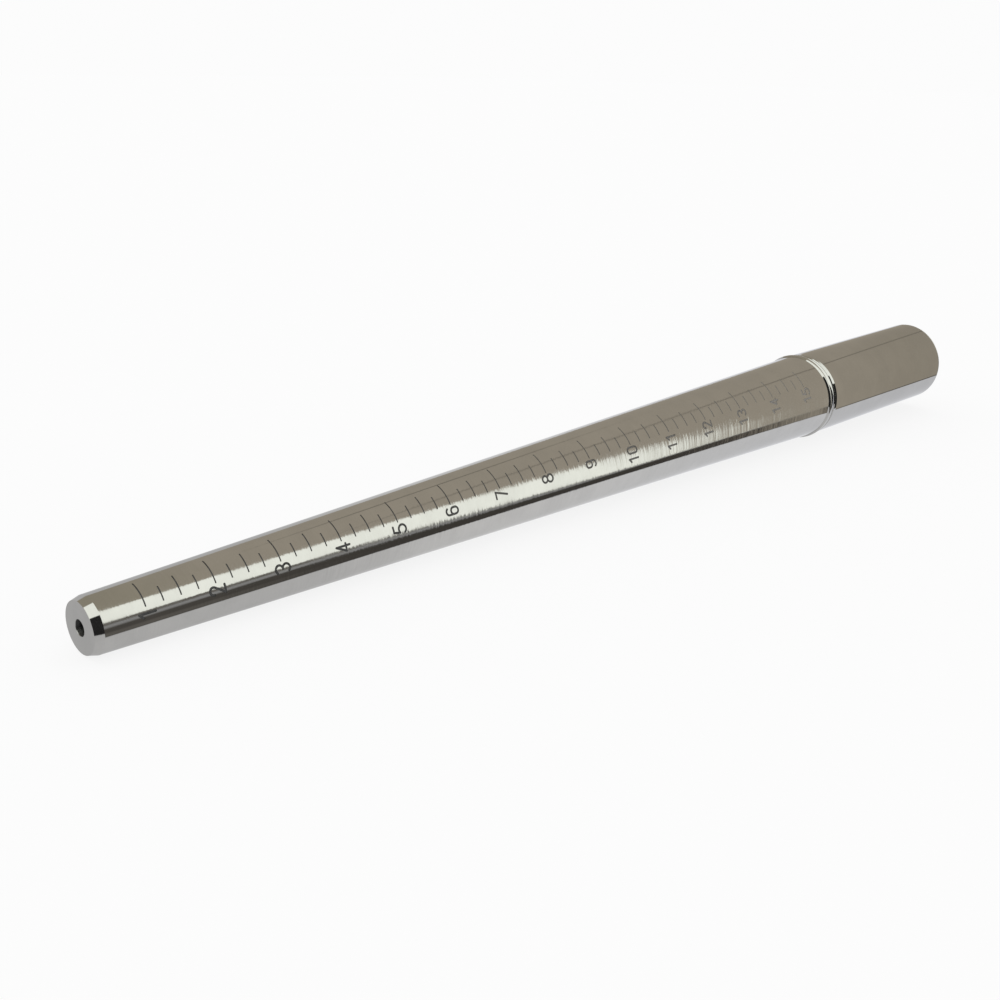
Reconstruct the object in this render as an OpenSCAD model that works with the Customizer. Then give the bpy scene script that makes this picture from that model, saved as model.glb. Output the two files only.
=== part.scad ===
// Ring mandrel: a tapered sizing spindle, its handle sleeve and the dark fill of the engraved scale.
// The spindle is drawn upright from its tip and then laid along X, tip towards -X.
// The origin is on the axis, in the middle of the handle's clamping length.

/* [Ring sizes] */
// Inside diameter of a size 0 ring
size_zero_d = 11.63; // [11.5:0.01:11.8]
// Growth in diameter for each whole ring size
size_step_d = 0.8128; // [0.8:0.0001:0.83]
// Distance along the axis between whole sizes
size_pitch = 15.28; // [14.5:0.02:16]

/* [Spindle] */
// Distance from the tip face to the size 1 line
tip_to_first = 10.85; // [9:0.05:13]
// Distance from the last size line to the crest of the collar
last_to_crest = 11.23; // [10:0.01:14]
// Length of the tip chamfer along the axis
tip_chamfer_len = 1.9; // [1:0.1:2.5]
// Radius taken off by the tip chamfer
tip_chamfer_drop = 0.55; // [0.2:0.05:0.8]
// Length over which the taper flares slightly before the collar
flare_len = 6; // [4:0.5:8]
// Extra radius at the end of that flare
flare_rise = 0.08; // [0.02:0.01:0.12]
// Length of the collar's front, from the flare up to its crest
collar_front_len = 0.9; // [0.5:0.1:1.5]
// Height of the collar's crest above the flare
collar_rise = 0.42; // [0.2:0.02:0.6]
// Length of the crowned band from the crest to the seam
collar_band_len = 2.2; // [1.5:0.1:3]
// Radius that the band loses between the crest and the seam
collar_band_drop = 0.4; // [0.2:0.05:0.6]
// Share of that loss that comes from the band's crown
band_crown = 0.75; // [0:0.05:1]
// Diameter of the tang inside the handle
tang_d = 14; // [10:0.5:16]

/* [Centre holes] */
// Diameter of the drilled centre holes
centre_d = 2.7; // [2:0.1:3.2]
// Depth of the drilled centre holes
centre_depth = 7; // [4:0.5:9]
// Width of the countersink around each centre hole
centre_sink = 0.4; // [0.2:0.05:0.6]

/* [Handle] */
// Diameter of the handle
handle_d = 24.62; // [24:0.02:25]
// Length of the handle sleeve
handle_len = 64.2; // [50:0.2:75]
// Length of the slightly raised rim at the handle's front edge
front_rim_len = 1.4; // [1:0.1:2]
// Height of that rim above the handle
front_rim_rise = 0.09; // [0.03:0.01:0.15]
// Radius of the rounded rear edge
butt_round = 1.1; // [0.5:0.1:2]
// Width of each half of the V notch at the seam
seam_notch = 0.2; // [0.1:0.05:0.3]

/* [Engraved scale] */
// Angle of the scale's middle line above the horizontal, on the front side
scale_tilt = 45; // [0:5:90]
// Depth of the engraved marks
mark_depth = 0.15; // [0.1:0.01:0.3]
// Width of the engraved lines
line_w = 0.3; // [0.15:0.05:0.4]
// Arc length of a line below the scale's middle line
line_below = 2.05; // [1:0.05:2.5]
// Arc length of a whole size line above the middle line
whole_above = 3.7; // [3:0.1:4]
// Arc length of a half size line above the middle line
half_above = 2.4; // [1.8:0.1:2.8]
// Arc length of a quarter size line above the middle line
quarter_above = 1.1; // [0.6:0.1:1.6]
// Height of the numerals, measured along the axis
digit_h = 3.9; // [3:0.1:4.5]
// Width of a numeral
digit_w = 2.05; // [1.6:0.05:2.4]
// Width of the numerals' strokes
stroke_w = 0.5; // [0.25:0.01:0.52]
// Gap between the size lines and the numerals
digit_gap = 0.4; // [0.3:0.05:1]

/* [Hidden] */

last_size = 15;
round_fn = 180;
pen_fn = 24;
eps = 0.05;

// Heights above the tip face, before the mandrel is laid down
crest_z = tip_to_first + (last_size - 1) * size_pitch + last_to_crest;
collar_z = crest_z - collar_front_len;
flare_z = collar_z - flare_len;
seam_z = crest_z + collar_band_len;
butt_z = seam_z + handle_len;
grip_start_z = seam_z + front_rim_len;
grip_end_z = butt_z - butt_round;
origin_z = (grip_start_z + grip_end_z) / 2;

flare_end_r = taper_r(collar_z) + flare_rise;
crest_r = flare_end_r + collar_rise;
seam_r = crest_r - collar_band_drop;
handle_r = handle_d / 2;
rim_r = handle_r + front_rim_rise;
curve_steps = 6;
tang_r = tang_d / 2;
centre_r = centre_d / 2;
drill_point = 118;
tang_relief_w = 1.6;
tang_relief_depth = 0.3;
edge_break = 0.4;

// The pen's round ends are a touch wider than its strokes, so that their outlines cross cleanly
dot_d = 1.02 * stroke_w;
// Centre line box of a numeral's pen strokes
pen_w = digit_w - stroke_w;
pen_h = digit_h - stroke_w;
digit_pitch = digit_w + 0.3;

steel = [0.78, 0.77, 0.74];
polished = [0.74, 0.72, 0.68];
dark_fill = [0.13, 0.13, 0.14];

function ring_d(size) = size_zero_d + size_step_d * size;
function size_z(size) = tip_to_first + (size - 1) * size_pitch;
function size_at(z) = 1 + (z - tip_to_first) / size_pitch;
function taper_r(z) = ring_d(size_at(z)) / 2;
// Outline point [radius, height] at a share of the way along the flare, the collar's front and its band
function flare_point(share) = [
    taper_r(flare_z + share * flare_len) + flare_rise * pow(share, 2),
    flare_z + share * flare_len
];
function front_point(share) = [
    flare_end_r + collar_rise * sin(90 * share),
    collar_z + share * collar_front_len
];
function band_point(share) = [
    crest_r - collar_band_drop * ((1 - band_crown) * share + band_crown * pow(share, 2)),
    crest_z + share * (collar_band_len - seam_notch)
];
// Turn angle about the axis of a point this arc length above the scale's middle line
function scale_turn(arc, r) = 270 - scale_tilt - arc / r * 180 / PI;

// ---- lay the mandrel along X ----
module lay_down() {
    translate([-origin_z, 0, 0]) rotate([0, 90, 0]) children();
}

module turned(outline) {
    rotate_extrude($fn = round_fn) polygon(outline);
}

// A drilled hole with a countersunk mouth at height 0, going up
module centre_hole() {
    sink_r = centre_r + centre_sink;
    point_h = centre_r / tan(drill_point / 2);
    turned([
        [0, -eps], [sink_r + eps * tan(30), -eps], [centre_r, centre_sink / tan(30)],
        [centre_r, centre_depth], [0, centre_depth + point_h]
    ]);
}

// ---- engraved lines ----
module size_line(size, above, proud) {
    z = size_z(size);
    low = z - line_w / 2;
    high = z + line_w / 2;
    r = taper_r(z);
    turn = (line_below + above) / r * 180 / PI;
    rotate([0, 0, scale_turn(above, r)])
        rotate_extrude(angle = turn, $fn = round_fn)
            polygon([
                [taper_r(low) - mark_depth, low], [taper_r(low) + proud, low],
                [taper_r(high) + proud, high], [taper_r(high) - mark_depth, high]
            ]);
}

module whole_lines(proud = 0) {
    for (size = [1 : last_size]) size_line(size, whole_above, proud);
}

module half_lines(proud = 0) {
    for (size = [1 : last_size - 1]) size_line(size + 0.5, half_above, proud);
}

module quarter_lines(proud = 0) {
    for (size = [1 : last_size - 1]) {
        size_line(size + 0.25, quarter_above, proud);
        size_line(size + 0.75, quarter_above, proud);
    }
}

// ---- numerals, drawn with a round pen ----
module pen_dot(p) {
    translate(p) circle(d = dot_d, $fn = pen_fn);
}

module pen_line(p, q) {
    run = q - p;
    translate(p) rotate(atan2(run[1], run[0])) translate([0, -stroke_w / 2]) square([norm(run), stroke_w]);
    pen_dot(p);
    pen_dot(q);
}

module pen_arc(centre, r, from, to) {
    steps = 8;
    sweep = to - from;
    reach = 2 * r;
    translate(centre) intersection() {
        difference() {
            circle(r + stroke_w / 2, $fn = 2 * pen_fn);
            circle(r - stroke_w / 2, $fn = 2 * pen_fn);
        }
        polygon([
            [0, 0],
            for (i = [0 : steps]) reach * [cos(from + sweep * i / steps), sin(from + sweep * i / steps)]
        ]);
    }
    pen_dot(centre + r * [cos(from), sin(from)]);
    pen_dot(centre + r * [cos(to), sin(to)]);
}

module pen_ring(centre, r) {
    translate(centre) difference() {
        circle(r + stroke_w / 2, $fn = 2 * pen_fn);
        circle(r - stroke_w / 2, $fn = 2 * pen_fn);
    }
}

module digit_0() {
    r = pen_w / 2;
    pen_arc([r, pen_h - r], r, 0, 180);
    pen_arc([r, r], r, 180, 360);
    pen_line([0, r], [0, pen_h - r]);
    pen_line([pen_w, r], [pen_w, pen_h - r]);
}

module digit_1() {
    stem = pen_w * 0.6;
    pen_line([stem, 0], [stem, pen_h]);
    pen_line([stem, pen_h], [pen_w * 0.1, pen_h * 0.76]);
}

module digit_2() {
    r = pen_w / 2;
    turn = -35;
    pen_arc([r, pen_h - r], r, turn, 185);
    pen_line([r + r * cos(turn), pen_h - r + r * sin(turn)], [0, 0]);
    pen_line([0, 0], [pen_w, 0]);
}

module digit_3() {
    r = pen_h / 4;
    pen_arc([pen_w - r, 3 * r], r, -90, 140);
    pen_arc([pen_w - r, r], r, -140, 90);
}

module digit_4() {
    stem = pen_w * 0.72;
    bar = pen_h * 0.28;
    pen_line([stem, 0], [stem, pen_h]);
    pen_line([stem, pen_h], [0, bar]);
    pen_line([0, bar], [pen_w, bar]);
}

module digit_5() {
    r = pen_h * 0.29;
    turn = 130;
    centre = [pen_w - r, r];
    pen_arc(centre, r, -140, turn);
    pen_line(centre + r * [cos(turn), sin(turn)], [pen_w * 0.12, pen_h]);
    pen_line([pen_w * 0.12, pen_h], [pen_w * 0.92, pen_h]);
}

// A tall closed bowl, and a stem that rises from its left side and hooks over at the top
module digit_6() {
    r = pen_w / 2;
    bowl_h = pen_h * 0.6;
    pen_arc([r, bowl_h - r], r, 0, 180);
    pen_arc([r, r], r, 180, 360);
    pen_line([0, r], [0, pen_h - r]);
    pen_line([pen_w, r], [pen_w, bowl_h - r]);
    pen_arc([r, pen_h - r], r, 30, 180);
}

module digit_7() {
    pen_line([0, pen_h], [pen_w, pen_h]);
    pen_line([pen_w, pen_h], [pen_w * 0.3, 0]);
}

module digit_8() {
    upper = pen_h * 0.235;
    lower = pen_h / 2 - upper;
    pen_ring([pen_w / 2, lower], lower);
    pen_ring([pen_w / 2, pen_h - upper], upper);
}

module digit_9() {
    translate([pen_w, pen_h]) rotate(180) digit_6();
}

module digit(value) {
    translate([stroke_w / 2, stroke_w / 2]) {
        if (value == 0) digit_0();
        if (value == 1) digit_1();
        if (value == 2) digit_2();
        if (value == 3) digit_3();
        if (value == 4) digit_4();
        if (value == 5) digit_5();
        if (value == 6) digit_6();
        if (value == 7) digit_7();
        if (value == 8) digit_8();
        if (value == 9) digit_9();
    }
}

// Flat numeral whose right edge is at x = 0 and whose middle height is at y = 0
module flat_numeral(value) {
    translate([-digit_w, -digit_h / 2]) digit(value % 10);
    if (value >= 10) translate([-digit_w - digit_pitch, -digit_h / 2]) digit(floor(value / 10));
}

// A numeral sunk into the cone, read with its top towards the tip
module numeral(value, proud = 0) {
    z = size_z(value);
    r = taper_r(z);
    width = (value >= 10) ? digit_w + digit_pitch : digit_w;
    middle = -line_below - digit_gap - width / 2;
    low = z - digit_h;
    high = z + digit_h;
    intersection() {
        rotate([0, 0, scale_turn(middle, r)])
            translate([r - 1, 0, z])
                rotate([0, 90, 0]) rotate([0, 0, -90])
                    linear_extrude(height = 2) translate([width / 2, 0]) flat_numeral(value);
        turned([
            [taper_r(low) - mark_depth, low], [taper_r(low) + proud, low],
            [taper_r(high) + proud, high], [taper_r(high) - mark_depth, high]
        ]);
    }
}

module numeral_fill(value) {
    color(dark_fill) lay_down() numeral(value);
}

// ---- metal pieces ----
module sizing_spindle() {
    chamfer_r = taper_r(tip_chamfer_len);
    flare = [for (i = [0 : curve_steps]) flare_point(i / curve_steps)];
    front = [for (i = [1 : curve_steps]) front_point(i / curve_steps)];
    band = [for (i = [1 : curve_steps]) band_point(i / curve_steps)];
    color(steel) lay_down() difference() {
        turned([
            [0, 0], [chamfer_r - tip_chamfer_drop, 0], [chamfer_r, tip_chamfer_len],
            each flare, each front, each band, [seam_r - seam_notch, seam_z],
            [tang_r - tang_relief_depth, seam_z], [tang_r - tang_relief_depth, seam_z + tang_relief_w],
            [tang_r, seam_z + tang_relief_w + tang_relief_depth],
            [tang_r, butt_z - edge_break], [tang_r - edge_break, butt_z], [0, butt_z]
        ]);
        centre_hole();
        translate([0, 0, butt_z]) mirror([0, 0, 1]) centre_hole();
        whole_lines(eps);
        half_lines(eps);
        quarter_lines(eps);
        for (value = [1 : last_size]) numeral(value, eps);
    }
}

module handle_sleeve() {
    round_centre = [handle_r - butt_round, grip_end_z];
    rear_edge = [for (a = [0 : 15 : 90]) round_centre + butt_round * [cos(a), sin(a)]];
    color(polished) lay_down() turned([
        [tang_r, seam_z + edge_break], [tang_r + edge_break, seam_z],
        [rim_r - seam_notch, seam_z], [rim_r, seam_z + seam_notch], [handle_r, grip_start_z],
        each rear_edge,
        [tang_r + edge_break, butt_z], [tang_r, butt_z - edge_break]
    ]);
}

module whole_size_lines() {
    color(dark_fill) lay_down() whole_lines();
}

module half_size_lines() {
    color(dark_fill) lay_down() half_lines();
}

module quarter_size_lines() {
    color(dark_fill) lay_down() quarter_lines();
}

sizing_spindle();
handle_sleeve();
whole_size_lines();
half_size_lines();
quarter_size_lines();
for (value = [1 : last_size]) {
    numeral_fill(value);
}
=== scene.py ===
"""The looks of a ring mandrel: a ground spindle with an engraved scale, and a polished handle sleeve."""
import math

import bmesh
import bpy
from mathutils import Matrix, Vector


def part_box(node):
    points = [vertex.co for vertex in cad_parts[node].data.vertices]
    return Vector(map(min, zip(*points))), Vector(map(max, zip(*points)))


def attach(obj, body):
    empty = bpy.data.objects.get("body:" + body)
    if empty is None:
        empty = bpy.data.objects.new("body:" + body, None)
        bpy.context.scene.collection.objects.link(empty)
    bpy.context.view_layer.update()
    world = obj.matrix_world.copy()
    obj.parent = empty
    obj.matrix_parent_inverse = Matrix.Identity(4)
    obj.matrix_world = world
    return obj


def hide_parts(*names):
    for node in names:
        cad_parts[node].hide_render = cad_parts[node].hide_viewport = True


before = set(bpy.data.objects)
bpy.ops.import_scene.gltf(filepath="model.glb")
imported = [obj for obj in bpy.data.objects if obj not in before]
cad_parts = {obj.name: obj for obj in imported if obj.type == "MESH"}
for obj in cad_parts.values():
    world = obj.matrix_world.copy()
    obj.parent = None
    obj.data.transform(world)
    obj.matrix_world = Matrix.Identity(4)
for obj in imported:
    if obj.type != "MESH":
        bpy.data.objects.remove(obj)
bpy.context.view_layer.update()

MM = 0.001

# ---- the frame's own places, in metres ----
spindle_low, spindle_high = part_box("sizing_spindle")
handle_low, handle_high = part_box("handle_sleeve")
lines_low, lines_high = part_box("whole_size_lines")

LINE_W = 0.3 * MM
FIRST_SIZE = 1
LAST_SIZE = 15
TIP_X = spindle_low.x
BUTT_X = spindle_high.x
SEAM_X = handle_low.x
FIRST_LINE_X = lines_low.x + LINE_W / 2
LAST_LINE_X = lines_high.x - LINE_W / 2
SIZE_PITCH = (LAST_LINE_X - FIRST_LINE_X) / (LAST_SIZE - FIRST_SIZE)
CREST_R = spindle_high.z

# ---- the real object's own sizes ----
SIZE_ZERO_D = 11.63 * MM
SIZE_STEP_D = 0.8128 * MM
TIP_CHAMFER_LEN = 1.9 * MM
TIP_CHAMFER_DROP = 0.55 * MM
FLARE_LEN = 6 * MM
FLARE_RISE = 0.08 * MM
COLLAR_FRONT_LEN = 0.9 * MM
COLLAR_BAND_LEN = 2.2 * MM
COLLAR_BAND_DROP = 0.4 * MM
BAND_CROWN = 0.75
FRONT_RIM_LEN = 1.4 * MM
FRONT_RIM_RISE = 0.09 * MM
BUTT_ROUND = 1.1 * MM
SEAM_NOTCH = 0.2 * MM
TANG_R = 7 * MM
RELIEF_W = 1.6 * MM
RELIEF_DEPTH = 0.3 * MM
EDGE_BREAK = 0.4 * MM
CENTRE_R = 1.35 * MM
CENTRE_SINK = 0.4 * MM
CENTRE_DEPTH = 7 * MM
SINK_HALF_ANGLE = math.radians(30)
DRILL_HALF_ANGLE = math.radians(59)
MARK_DEPTH = 0.15 * MM
FILL_RECESS = 0.035 * MM

CREST_X = SEAM_X - COLLAR_BAND_LEN
HANDLE_R = handle_high.z - FRONT_RIM_RISE
AROUND = 288
EDGE_ROUND = 0.07 * MM
SOFT_ANGLE = math.radians(25)
ON_AXIS = 1e-9


def size_x(size):
    """Place of a size line along the axis."""
    return FIRST_LINE_X + (size - FIRST_SIZE) * SIZE_PITCH


def taper_radius(x):
    """Radius of the sizing taper at a place along the axis."""
    size = FIRST_SIZE + (x - FIRST_LINE_X) / SIZE_PITCH
    return (SIZE_ZERO_D + SIZE_STEP_D * size) / 2


# ---- turned shapes ----
def rounded(corners):
    """Points (x, r) from corners (x, r) or (x, r, fillet), where a fillet becomes an arc."""
    steps = 5
    points = []
    for i, corner in enumerate(corners):
        here = Vector(corner[:2])
        if len(corner) == 2:
            points.append(here)
            continue
        before = Vector(corners[i - 1][:2])
        after = Vector(corners[(i + 1) % len(corners)][:2])
        towards = (before - here).normalized()
        onwards = (after - here).normalized()
        half = towards.angle(onwards) / 2
        reach = corner[2] / math.tan(half)
        centre = here + (towards + onwards).normalized() * corner[2] / math.sin(half)
        start = here + towards * reach - centre
        end = here + onwards * reach - centre
        sweep = start.angle_signed(end)
        for k in range(steps + 1):
            points.append(centre + Matrix.Rotation(-sweep * k / steps, 2) @ start)
    return points


class Lathe:
    """A solid turned around the X axis from an outline of (x, r), with true normals on its turned faces.

    An open outline starts and ends on the axis, and a closed one goes round a ring."""

    def __init__(self, name, points, closed):
        self.points = points
        self.closed = closed
        pairs = len(points) if closed else len(points) - 1
        self.segments = [(points[i], points[(i + 1) % len(points)]) for i in range(pairs)]
        self.mesh = bpy.data.meshes.new(name)
        self.build()

    def build(self):
        """Fills the mesh with a ring of corners for each outline point and faces between the rings."""
        shape = bmesh.new()
        rings = []
        for x, r in self.points:
            if r < ON_AXIS:
                rings.append([shape.verts.new((x, 0, 0))] * AROUND)
                continue
            turns = [2 * math.pi * k / AROUND for k in range(AROUND)]
            rings.append([shape.verts.new((x, r * math.cos(t), r * math.sin(t))) for t in turns])
        for i in range(len(self.segments)):
            low, high = rings[i], rings[(i + 1) % len(rings)]
            for k in range(AROUND):
                j = (k + 1) % AROUND
                corners = [low[k], high[k], high[j], low[j]]
                shape.faces.new(list(dict.fromkeys(corners)))
        bmesh.ops.recalc_face_normals(shape, faces=shape.faces)
        shape.to_mesh(self.mesh)
        shape.free()

    def slope(self, i):
        """Unit normal of outline segment i in the (x, r) plane, pointing out of the metal."""
        start, end = self.segments[i]
        run = (end - start).normalized()
        return Vector((-run.y, run.x)) * self.outward

    def add_normals(self, mesh):
        """Gives each turned face of a mesh cut from this lathe its true normals, and leaves cut faces flat.

        Where two faces blend, the normal at their joint leans to the longer one's, by squared length."""
        area = sum(a.x * b.y - b.x * a.y for a, b in self.segments)
        self.outward = -1 if area > 0 else 1
        count = len(self.segments)
        slopes = [self.slope(i) for i in range(count)]
        lengths = [(end - start).length for start, end in self.segments]
        ends = []
        for i in range(count):
            pair = []
            for other in (i - 1, i + 1):
                inside = self.closed or 0 <= other < count
                near = slopes[other % count]
                soft = inside and slopes[i].angle(near) < SOFT_ANGLE
                mine, theirs = lengths[i] ** 2, lengths[other % count] ** 2
                pair.append((slopes[i] * mine + near * theirs).normalized() if soft else slopes[i])
            ends.append(pair)
        normals = []
        for face in mesh.polygons:
            i = self.segment_of(face, slopes)
            for v in face.vertices:
                place = mesh.vertices[v].co
                normals.append(face.normal if i is None else self.true_normal(place, i, ends, face))
        mesh.shade_smooth()
        mesh.normals_split_custom_set(normals)

    def segment_of(self, face, slopes):
        """The outline segment that a face lies on, or None for a face that a cutter made."""
        near = 0.004 * MM
        alike = 0.999
        spot = Vector((face.center.x, math.hypot(face.center.y, face.center.z)))
        tilt = self.flat_normal(face)
        best = None
        for i, (start, end) in enumerate(self.segments):
            if slopes[i].dot(tilt) < alike:
                continue
            gap = (start.lerp(end, self.share_along(i, spot)) - spot).length
            if gap < near:
                best, near = i, gap
        return best

    def share_along(self, i, spot):
        """How far along outline segment i a point (x, r) lies, from 0 at its start to 1 at its end."""
        start, end = self.segments[i]
        along = end - start
        return min(max((spot - start).dot(along) / along.length_squared, 0), 1)

    def flat_normal(self, face):
        """A face's normal in the (x, r) plane through its middle."""
        radial = Vector((0, face.center.y, face.center.z))
        radial = radial.normalized() if radial.length > 0 else Vector((0, 0, 0))
        return Vector((face.normal.x, face.normal.dot(radial)))

    def true_normal(self, place, i, ends, face):
        """The turned surface's normal at a point of segment i."""
        spot = Vector((place.x, math.hypot(place.y, place.z)))
        slope = ends[i][0].lerp(ends[i][1], self.share_along(i, spot)).normalized()
        radial = Vector((0, place.y, place.z))
        if radial.length < ON_AXIS:
            radial = Vector((0, face.center.y, face.center.z))
        radial.normalize()
        return Vector((slope.x, radial.y * slope.y, radial.z * slope.y)).normalized()


def run_between(start, end, count):
    """Points strictly between two outline points, evenly spaced."""
    return [tuple(Vector(start).lerp(Vector(end), k / count)) for k in range(1, count)]


def centre_hole_outline(mouth_x, inward):
    """Outline of a drilled and countersunk centre hole, from its point on the axis to its mouth."""
    sink_r = CENTRE_R + CENTRE_SINK
    sink_len = CENTRE_SINK / math.tan(SINK_HALF_ANGLE)
    point_len = CENTRE_R / math.tan(DRILL_HALF_ANGLE)
    return [
        (mouth_x + inward * (CENTRE_DEPTH + point_len), 0),
        (mouth_x + inward * CENTRE_DEPTH, CENTRE_R),
        (mouth_x + inward * sink_len, CENTRE_R),
        (mouth_x, sink_r, EDGE_ROUND / 2),
    ]


def spindle_outline():
    """Outline of the spindle with its tang, from the point of one centre hole to that of the other."""
    chamfer_x = TIP_X + TIP_CHAMFER_LEN
    chamfer_r = taper_radius(chamfer_x)
    collar_x = CREST_X - COLLAR_FRONT_LEN
    flare_x = collar_x - FLARE_LEN
    flare_end_r = taper_radius(collar_x) + FLARE_RISE
    taper_start = (chamfer_x, chamfer_r, 1.5 * EDGE_ROUND)
    taper_end = (flare_x, taper_radius(flare_x))
    taper_rings = 46
    flare_rings = 10
    flare = []
    for k in range(1, flare_rings + 1):
        share = k / flare_rings
        x = flare_x + FLARE_LEN * share
        flare.append((x, taper_radius(x) + FLARE_RISE * share ** 2))
    front_rings = 10
    front = []
    for k in range(1, front_rings + 1):
        share = k / front_rings
        rise = (CREST_R - flare_end_r) * math.sin(share * math.pi / 2)
        front.append((collar_x + COLLAR_FRONT_LEN * share, flare_end_r + rise))
    band_rings = 8
    band = []
    for k in range(1, band_rings):
        share = k / band_rings
        drop = COLLAR_BAND_DROP * ((1 - BAND_CROWN) * share + BAND_CROWN * share ** 2)
        band.append((CREST_X + (COLLAR_BAND_LEN - SEAM_NOTCH) * share, CREST_R - drop))
    seam_r = CREST_R - COLLAR_BAND_DROP
    tang_end_r = TANG_R - EDGE_BREAK
    corners = [
        *centre_hole_outline(TIP_X, 1),
        (TIP_X, chamfer_r - TIP_CHAMFER_DROP, EDGE_ROUND),
        taper_start,
        *run_between(taper_start[:2], taper_end, taper_rings),
        taper_end,
        *flare,
        *front,
        *band,
        (SEAM_X - SEAM_NOTCH, seam_r, EDGE_ROUND / 2),
        (SEAM_X, seam_r - SEAM_NOTCH),
        (SEAM_X, TANG_R - RELIEF_DEPTH),
        (SEAM_X + RELIEF_W, TANG_R - RELIEF_DEPTH),
        (SEAM_X + RELIEF_W + RELIEF_DEPTH, TANG_R),
        (BUTT_X - EDGE_BREAK, TANG_R, EDGE_ROUND),
        (BUTT_X, tang_end_r, EDGE_ROUND),
        *reversed(centre_hole_outline(BUTT_X, -1)),
    ]
    return rounded(corners)


def handle_outline():
    """Closed outline of the handle sleeve, from its bore's front edge round the outside to the rear."""
    front_r = HANDLE_R + FRONT_RIM_RISE
    grip_start = (SEAM_X + FRONT_RIM_LEN, HANDLE_R)
    grip_end = (BUTT_X - BUTT_ROUND, HANDLE_R)
    grip_rings = 12
    return rounded([
        (SEAM_X + EDGE_BREAK, TANG_R),
        (SEAM_X, TANG_R + EDGE_BREAK),
        (SEAM_X, front_r - SEAM_NOTCH),
        (SEAM_X + SEAM_NOTCH, front_r, EDGE_ROUND / 2),
        (*grip_start, 4 * EDGE_ROUND),
        *run_between(grip_start, grip_end, grip_rings),
        (BUTT_X, HANDLE_R, BUTT_ROUND),
        (BUTT_X, TANG_R + EDGE_BREAK, EDGE_ROUND),
        (BUTT_X - EDGE_BREAK, TANG_R),
    ])


# ---- the engraved scale ----
MARK_NODES = ["whole_size_lines", "half_size_lines", "quarter_size_lines"]
MARK_NODES += [f"numeral_{size}" for size in range(FIRST_SIZE, LAST_SIZE + 1)]


def mark_mesh(node, lift):
    """The solid of a CAD mark, with its outer face moved out of the taper's surface by lift."""
    same_corner = 0.0001 * MM
    shape = bmesh.new()
    shape.from_mesh(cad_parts[node].data)
    bmesh.ops.remove_doubles(shape, verts=shape.verts, dist=same_corner)
    for v in shape.verts:
        r = math.hypot(v.co.y, v.co.z)
        surface = taper_radius(v.co.x)
        if r > surface - MARK_DEPTH / 2:
            v.co.yz = v.co.yz * (surface + lift) / r
    mesh = bpy.data.meshes.new(node)
    shape.to_mesh(mesh)
    shape.free()
    return mesh


def cut_marks(lathe):
    """The spindle's mesh with every mark cut into it."""
    above = 0.1 * MM
    cutters = bmesh.new()
    for node in MARK_NODES:
        part = mark_mesh(node, above)
        cutters.from_mesh(part)
        bpy.data.meshes.remove(part)
    cutter_mesh = bpy.data.meshes.new("mark_cutters")
    cutters.to_mesh(cutter_mesh)
    cutters.free()
    cutter = add_object("mark_cutters", cutter_mesh)
    body = add_object("uncut_spindle", lathe.mesh)
    cut = body.modifiers.new("cut", "BOOLEAN")
    cut.operation = "DIFFERENCE"
    cut.solver = "MANIFOLD"
    cut.object = cutter
    bpy.context.view_layer.update()
    result = bpy.data.meshes.new_from_object(body.evaluated_get(bpy.context.evaluated_depsgraph_get()))
    bpy.data.objects.remove(body)
    bpy.data.objects.remove(cutter)
    return result


def add_object(name, mesh):
    piece = bpy.data.objects.new(name, mesh)
    bpy.context.scene.collection.objects.link(piece)
    return piece


def add_piece(name, mesh, material, node):
    """A visible piece that stands for a CAD node."""
    mesh.materials.clear()
    mesh.materials.append(material)
    piece = add_object(name, mesh)
    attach(piece, "root")
    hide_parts(node)
    return piece


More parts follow.
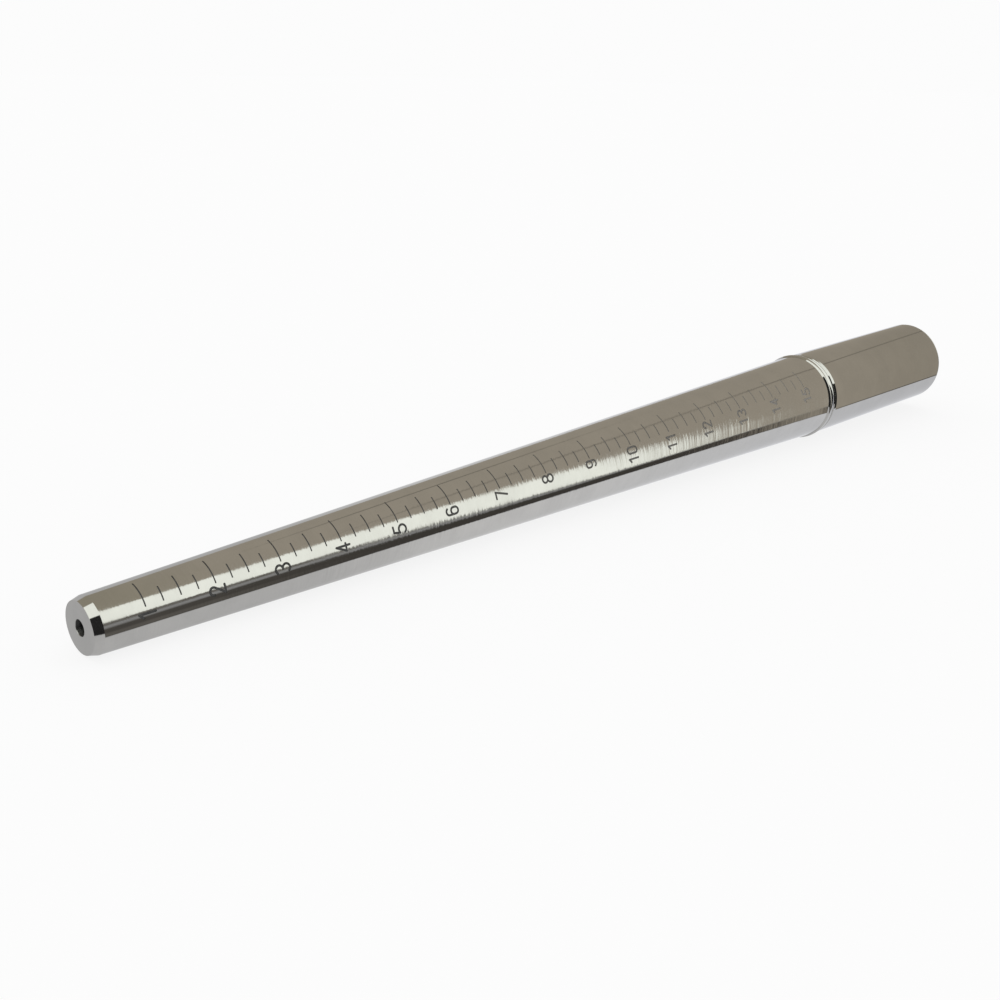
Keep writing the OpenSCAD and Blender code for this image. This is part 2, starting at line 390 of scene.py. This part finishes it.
# ---- node helpers ----
class Nodes:
    """Short calls for making shader nodes in one tree."""

    def __init__(self, tree):
        self.tree = tree
        tree.nodes.clear()

    def node(self, kind, **settings):
        made = self.tree.nodes.new(kind)
        for key, value in settings.items():
            setattr(made, key, value)
        return made

    def put(self, value, socket):
        if isinstance(value, bpy.types.NodeSocket):
            self.tree.links.new(value, socket)
        else:
            socket.default_value = value

    def calc(self, operation, *values):
        made = self.node("ShaderNodeMath", operation=operation)
        for value, socket in zip(values, made.inputs):
            self.put(value, socket)
        return made.outputs[0]

    def step(self, x, low, high, bottom=0.0, top=1.0, kind="SMOOTHSTEP"):
        """bottom below low, top above high, and between them a change of the given kind."""
        made = self.node("ShaderNodeMapRange", interpolation_type=kind)
        for value, socket in zip((x, low, high, bottom, top), made.inputs):
            self.put(value, socket)
        return made.outputs[0]

    def graph(self, x, points):
        """A value that runs straight between points (x, value) and is level outside them."""
        total = points[0][1]
        for (x0, v0), (x1, v1) in zip(points, points[1:]):
            total = self.calc("ADD", total, self.step(x, x0, x1, 0.0, v1 - v0, "LINEAR"))
        return total

    def mix(self, share, first, second):
        """The first colour at share 0, the second at share 1."""
        made = self.node("ShaderNodeMix", data_type="RGBA")
        self.put(share, made.inputs["Factor"])
        self.put(first, made.inputs[6])
        self.put(second, made.inputs[7])
        return made.outputs[2]

    def noise(self, vector, scale, detail, roughness):
        made = self.node("ShaderNodeTexNoise")
        self.put(vector, made.inputs["Vector"])
        made.inputs["Scale"].default_value = scale
        made.inputs["Detail"].default_value = detail
        made.inputs["Roughness"].default_value = roughness
        return made.outputs["Fac"]

    def parts(self, vector):
        made = self.node("ShaderNodeSeparateXYZ")
        self.put(vector, made.inputs[0])
        return made.outputs

    def along(self, place):
        """Place along the X axis."""
        return self.parts(place)[0]

    def radius(self, place):
        """Distance from the X axis."""
        _, y, z = self.parts(place)
        return self.calc("SQRT", self.calc("MULTIPLY_ADD", z, z, self.calc("MULTIPLY", y, y)))

    def bump(self, height, distance):
        made = self.node("ShaderNodeBump")
        made.inputs["Distance"].default_value = distance
        self.put(height, made.inputs["Height"])
        return made.outputs[0]

    def between(self, x, low, high, soft):
        """1 where x is between two edges, 0 elsewhere."""
        under = self.calc("SUBTRACT", 1.0, self.above(x, high, soft))
        return self.calc("MULTIPLY", self.above(x, low, soft), under)

    def above(self, x, edge, soft):
        """1 where x is above an edge, 0 below it, over a width of soft each way."""
        return self.step(self.calc("DIVIDE", self.calc("SUBTRACT", x, edge), soft), -1.0, 1.0)

    def stretch(self, vector, scale):
        made = self.node("ShaderNodeMapping")
        self.put(vector, made.inputs["Vector"])
        made.inputs["Scale"].default_value = scale
        return made.outputs[0]


def grey(level):
    return (level, level, level, 1)


# ---- materials ----
STEEL_TINT = (0.49, 0.485, 0.47)


def new_material(name):
    """An empty material, and the short calls that fill it."""
    material = bpy.data.materials.new(name)
    material.use_nodes = True
    return material, Nodes(material.node_tree)


def finish_material(tree, shader):
    out = tree.node("ShaderNodeOutputMaterial")
    tree.tree.links.new(shader.outputs[0], out.inputs["Surface"])


def ring_marks(tree, place):
    """Height of the rings that turning and grinding leave round the X axis, and the finest of them.

    The rings' strength changes along the scale, so it is given by ring size."""
    fine = tree.noise(tree.stretch(place, (1, 0.05, 0.05)), 3200, 2, 0.6)
    teeth = tree.noise(tree.stretch(place, (1, 0.12, 0.12)), 1100, 2, 0.6)
    waves = tree.noise(tree.stretch(place, (1, 0.2, 0.2)), 260, 2, 0.5)
    height = tree.calc("ADD", tree.calc("MULTIPLY", fine, 0.35), teeth)
    height = tree.calc("ADD", height, tree.calc("MULTIPLY", waves, 1.5))
    strength = [(1, 0.3), (5, 0.6), (10, 0.85), (13, 0.85), (15, 0.4)]
    coarser = tree.graph(tree.along(place), [(size_x(size), level) for size, level in strength])
    return tree.calc("MULTIPLY", height, coarser), fine


def steel(name, roughness, anisotropy, grind, streak):
    """Turned and ground steel: uneven fine rings round the X axis, smudges, and a rougher centre hole whose
    inside is darkened with painted shade.
    """
    material, tree = new_material(name)
    place = tree.node("ShaderNodeTexCoord").outputs["Object"]
    height, fine = ring_marks(tree, place)
    smudge = tree.noise(place, 130, 4, 0.6)
    bright = tree.step(fine, 0.3, 0.7, 1.0 - streak, 1.0)
    bright = tree.calc("MULTIPLY", bright, tree.step(smudge, 0.35, 0.65, 0.95, 1.0))
    dull = tree.step(smudge, 0.35, 0.65, 1.4 * roughness, 0.8 * roughness)
    colour = tree.node("ShaderNodeVectorMath", operation="SCALE")
    colour.inputs[0].default_value = STEEL_TINT
    tree.put(bright, colour.inputs["Scale"])
    sink_r = CENTRE_R + CENTRE_SINK
    # painted shade: inside the centre hole the colour turns dark grey to stand in for the shade there, and
    # the surface is also rougher
    hole_painted_shade_and_roughness = tree.step(tree.radius(place), sink_r - 0.1 * MM, sink_r + 0.02 * MM, 1.0, 0.0)
    shader = tree.node("ShaderNodeBsdfPrincipled")
    tree.put(tree.mix(hole_painted_shade_and_roughness, colour.outputs[0], grey(0.09)), shader.inputs["Base Color"])
    shader.inputs["Metallic"].default_value = 1.0
    shader.inputs["Specular Tint"].default_value = grey(0.8)
    tree.put(tree.step(hole_painted_shade_and_roughness, 0.0, 1.0, dull, 0.7), shader.inputs["Roughness"])
    shader.inputs["Anisotropic"].default_value = anisotropy
    shader.inputs["Anisotropic Rotation"].default_value = 0.25
    tangent = tree.node("ShaderNodeTangent", direction_type="RADIAL", axis="X")
    tree.put(tree.bump(height, grind), shader.inputs["Normal"])
    tree.put(tangent.outputs[0], shader.inputs["Tangent"])
    finish_material(tree, shader)
    return material


def mark_paint():
    """Dark etched fill: nearly matt, a little uneven, and paler towards the large sizes, a painted
    reflection of the glancing light there.
    """
    material, tree = new_material("etched_fill")
    place = tree.node("ShaderNodeTexCoord").outputs["Object"]
    blotch = tree.noise(place, 900, 3, 0.6)
    grain = tree.noise(place, 9000, 2, 0.5)
    fresh = tree.mix(tree.step(blotch, 0.35, 0.65), grey(0.025), grey(0.045))
    # painted reflection: towards the large sizes the fill turns a pale brownish grey, standing in for the
    # light its grooves catch at a glancing angle
    far_painted_sheen = tree.graph(tree.along(place), [(size_x(5), 0.0), (size_x(11), 0.45), (size_x(15), 1.0)])
    shader = tree.node("ShaderNodeBsdfPrincipled")
    tree.put(tree.mix(far_painted_sheen, fresh, (0.19, 0.18, 0.165, 1)), shader.inputs["Base Color"])
    tree.put(tree.step(grain, 0.3, 0.7, 0.4, 0.6), shader.inputs["Roughness"])
    tree.put(tree.bump(grain, 0.01 * MM), shader.inputs["Normal"])
    finish_material(tree, shader)
    return material


def floor_material():
    """Pale table that glows a little, so that the object's shadow on it stays faint."""
    material, tree = new_material("pale_table")
    shader = tree.node("ShaderNodeBsdfPrincipled")
    shader.inputs["Base Color"].default_value = grey(0.13)
    shader.inputs["Roughness"].default_value = 0.9
    shader.inputs["Specular IOR Level"].default_value = 0.0
    shader.inputs["Emission Color"].default_value = grey(1.0)
    shader.inputs["Emission Strength"].default_value = 0.845
    finish_material(tree, shader)
    return material


# ---- light ----
def table_glow(tree, axial):
    """Colour of the white table, dimmer near the tip and a little blue far off."""
    levels = [(-0.5, 0.66), (0.2, 0.73), (0.5, 0.72), (0.6, 0.88), (0.75, 0.95), (0.86, 0.85)]
    pale = tree.mix(tree.step(axial, 0.6, 0.85), (1.1, 1.1, 1.11, 1), (1.09, 1.1, 1.15, 1))
    return tree.mix(tree.graph(axial, levels), grey(0.0), pale)


def wall_brown(tree, axial):
    """Colour of the brown wall, darker at both ends."""
    brown = tree.mix(tree.step(axial, 0.36, 0.46), (0.46, 0.42, 0.33, 1), (0.54, 0.485, 0.4, 1))
    return tree.mix(tree.step(axial, 0.83, 0.87), brown, (0.49, 0.44, 0.36, 1))


def seam_line(tree, axial, tilt, points, half_width, soft):
    """A thin line on the wall that follows a graph of tilt."""
    off = tree.calc("SUBTRACT", tilt, tree.graph(axial, points))
    return tree.between(off, -half_width, half_width, soft)


def room(tree, direction):
    """What the metal reflects: a white table, a dark side, a bright window, and a brown wall behind it.

    The room is laid out by tilt, the angle round the X axis in degrees with 0 in front, 90 above and -90
    below, and by axial, which is 1 along +X. Each edge is a graph of tilt against axial."""
    axial, y, z = tree.parts(direction)
    turn = tree.calc("ARCTAN2", z, tree.calc("MULTIPLY", y, -1.0))
    tilt = tree.calc("MULTIPLY", turn, 180 / math.pi)
    table = table_glow(tree, axial)
    brown = wall_brown(tree, axial)
    shade = tree.mix(tree.step(axial, 0.36, 0.6), (0.12, 0.111, 0.1, 1), (0.08, 0.073, 0.065, 1))
    pale_shade = (0.23, 0.215, 0.195, 1)
    stripe = grey(0.42)
    black = grey(0.03)
    window = (1.6, 1.64, 1.53, 1)
    crisp = 1.0
    blur = tree.graph(axial, [(0.36, 5.0), (0.5, 2.0)])

    table_edge = tree.graph(axial, [(-0.1, -20), (0.36, -37), (0.7, -42), (0.9, -56)])
    shade_top = tree.graph(axial, [(0.36, -5), (0.5, -8), (0.66, -27), (0.75, -29)])
    stripe_top = tree.graph(axial, [(0.36, 7), (0.5, 0), (0.6, -12), (0.7, -26)])
    window_low = tree.graph(axial, [(0.1, 48), (0.36, 15), (0.52, 5), (0.63, -15), (0.73, -28)])
    window_high = tree.graph(axial, [(0.1, 100), (0.36, 60), (0.6, 37), (0.7, 18), (0.75, -6)])
    far_table = tree.graph(axial, [(0.1, 146), (0.5, 155), (0.8, 172), (0.86, 179)])
    above_table = tree.above(tilt, table_edge, crisp)

    # the dark side of the room, from the table's edge up to the window
    colour = tree.mix(above_table, table, shade)
    glow = tree.between(tilt, table_edge, tree.calc("ADD", table_edge, 14), blur)
    glow = tree.calc("MULTIPLY", glow, tree.step(axial, 0.36, 0.55, 0.6, 0.0))
    colour = tree.mix(glow, colour, pale_shade)
    colour = tree.mix(tree.between(tilt, shade_top, stripe_top, blur), colour, stripe)
    colour = tree.mix(tree.between(tilt, stripe_top, window_low, blur), colour, pale_shade)
    low_end = tree.step(axial, 0.15, 0.3, 1.0, 0.0)
    low_end = tree.calc("MULTIPLY", low_end, tree.between(tilt, table_edge, window_low, crisp))
    colour = tree.mix(low_end, colour, black)

    # the brown wall above, with its thin dark seams
    wall = tree.above(tilt, window_low, crisp)
    far_wall = tree.calc("MULTIPLY", tree.step(axial, 0.76, 0.8), above_table)
    colour = tree.mix(tree.calc("MAXIMUM", wall, far_wall), colour, brown)
    line = tree.between(tilt, table_edge, tree.calc("ADD", table_edge, 2.5), crisp)
    colour = tree.mix(tree.calc("MULTIPLY", line, tree.step(axial, 0.8, 0.86, 0.2, 0.8)), colour, black)
    line = seam_line(tree, axial, tilt, [(0.5, 56), (0.7, 75), (0.83, 92), (0.87, 106)], 1.2, 1.5)
    colour = tree.mix(tree.calc("MULTIPLY", line, tree.step(axial, 0.5, 0.6, 0.0, 0.6)), colour, shade)
    line = seam_line(tree, axial, tilt, [(0.5, 110), (0.7, 124)], 1.5, crisp)
    line = tree.calc("MULTIPLY", line, tree.between(axial, 0.5, 0.68, 0.05))
    colour = tree.mix(tree.calc("MULTIPLY", line, 0.6), colour, shade)

    # the window, the end of the room and the table behind
    near = tree.step(axial, 0.71, 0.772, 1.0, 0.0)
    in_window = tree.calc("MULTIPLY", tree.between(tilt, window_low, window_high, crisp), near)
    colour = tree.mix(in_window, colour, window)
    end_lean = 1.2
    end_shift = 0.26
    up_end = tree.calc("ADD", z, tree.calc("MULTIPLY_ADD", y, end_lean, end_shift))
    end_wall = tree.mix(tree.step(up_end, -0.02, 0.02), black, window)
    in_end = tree.calc("MULTIPLY", tree.step(axial, 0.88, 0.89), tree.between(tilt, table_edge, 155, crisp))
    colour = tree.mix(in_end, colour, end_wall)
    return tree.mix(tree.above(tilt, far_table, crisp), colour, table)


def studio_world():
    """A light tent: plain white for the camera and for soft light, and the room for the metal to reflect."""
    world = bpy.data.worlds.new("light_tent")
    bpy.context.scene.world = world
    world.use_nodes = True
    tree = Nodes(world.node_tree)
    direction = tree.node("ShaderNodeTexCoord").outputs["Generated"]
    rays = tree.node("ShaderNodeLightPath").outputs
    for_camera = grey(0.973)
    for_diffuse = grey(1.0)
    seen = tree.mix(rays["Is Glossy Ray"], for_diffuse, room(tree, direction))
    seen = tree.mix(rays["Is Camera Ray"], seen, for_camera)
    background = tree.node("ShaderNodeBackground")
    tree.put(seen, background.inputs["Color"])
    out = tree.node("ShaderNodeOutputWorld")
    tree.tree.links.new(background.outputs[0], out.inputs["Surface"])


def floor():
    """A large table that the collar and the tip's edge rest on."""
    side = 6.0
    tip_rest = Vector((TIP_X + TIP_CHAMFER_LEN, 0, -taper_radius(TIP_X + TIP_CHAMFER_LEN)))
    collar_rest = Vector((CREST_X, 0, -CREST_R))
    along = (collar_rest - tip_rest).normalized() * side
    across = Vector((0, side, 0))
    corners = [collar_rest + i * along + j * across for i, j in ((-1, -1), (1, -1), (1, 1), (-1, 1))]
    mesh = bpy.data.meshes.new("floor")
    mesh.from_pydata(corners, [], [(0, 1, 2, 3)])
    mesh.materials.append(floor_material())
    piece = add_object("floor", mesh)
    piece.visible_glossy = False


def camera():
    """The camera stands near the tip and looks along the mandrel.

    It is placed by how far the tip lies to its right, below its line of sight and ahead of it."""
    azimuth = math.radians(-44.53)
    elevation = math.radians(19.565)
    tip_right = -78.35 * MM
    tip_down = 23.88 * MM
    tip_ahead = 246.0 * MM
    back = Vector((
        math.sin(azimuth) * math.cos(elevation),
        -math.cos(azimuth) * math.cos(elevation),
        math.sin(elevation),
    ))
    turn = (-back).to_track_quat("-Z", "Y")
    data = bpy.data.cameras.new("camera")
    data.lens = 47.51
    data.sensor_width = 36.0
    data.clip_start = 0.01
    data.clip_end = 20.0
    made = bpy.data.objects.new("camera", data)
    bpy.context.scene.collection.objects.link(made)
    made.rotation_mode = "QUATERNION"
    made.rotation_quaternion = turn
    made.location = Vector((TIP_X, 0, 0)) - turn @ Vector((tip_right, -tip_down, -tip_ahead))
    bpy.context.scene.camera = made


def lay_out():
    """Makes the two metal pieces and the fill of every mark."""
    ground = steel("ground_steel", roughness=0.07, anisotropy=0.6, grind=0.028 * MM, streak=0.02)
    polished = steel("polished_steel", roughness=0.04, anisotropy=0.3, grind=0.002 * MM, streak=0.02)
    paint = mark_paint()
    spindle = Lathe("spindle", spindle_outline(), closed=False)
    body = cut_marks(spindle)
    spindle.add_normals(body)
    add_piece("ground_spindle", body, ground, "sizing_spindle")
    handle = Lathe("handle", handle_outline(), closed=True)
    handle.add_normals(handle.mesh)
    add_piece("polished_handle", handle.mesh, polished, "handle_sleeve")
    for node in MARK_NODES:
        add_piece(f"{node}_fill", mark_mesh(node, -FILL_RECESS), paint, node)


bpy.context.scene.view_settings.view_transform = "Standard"
camera()
studio_world()
floor()
lay_out()
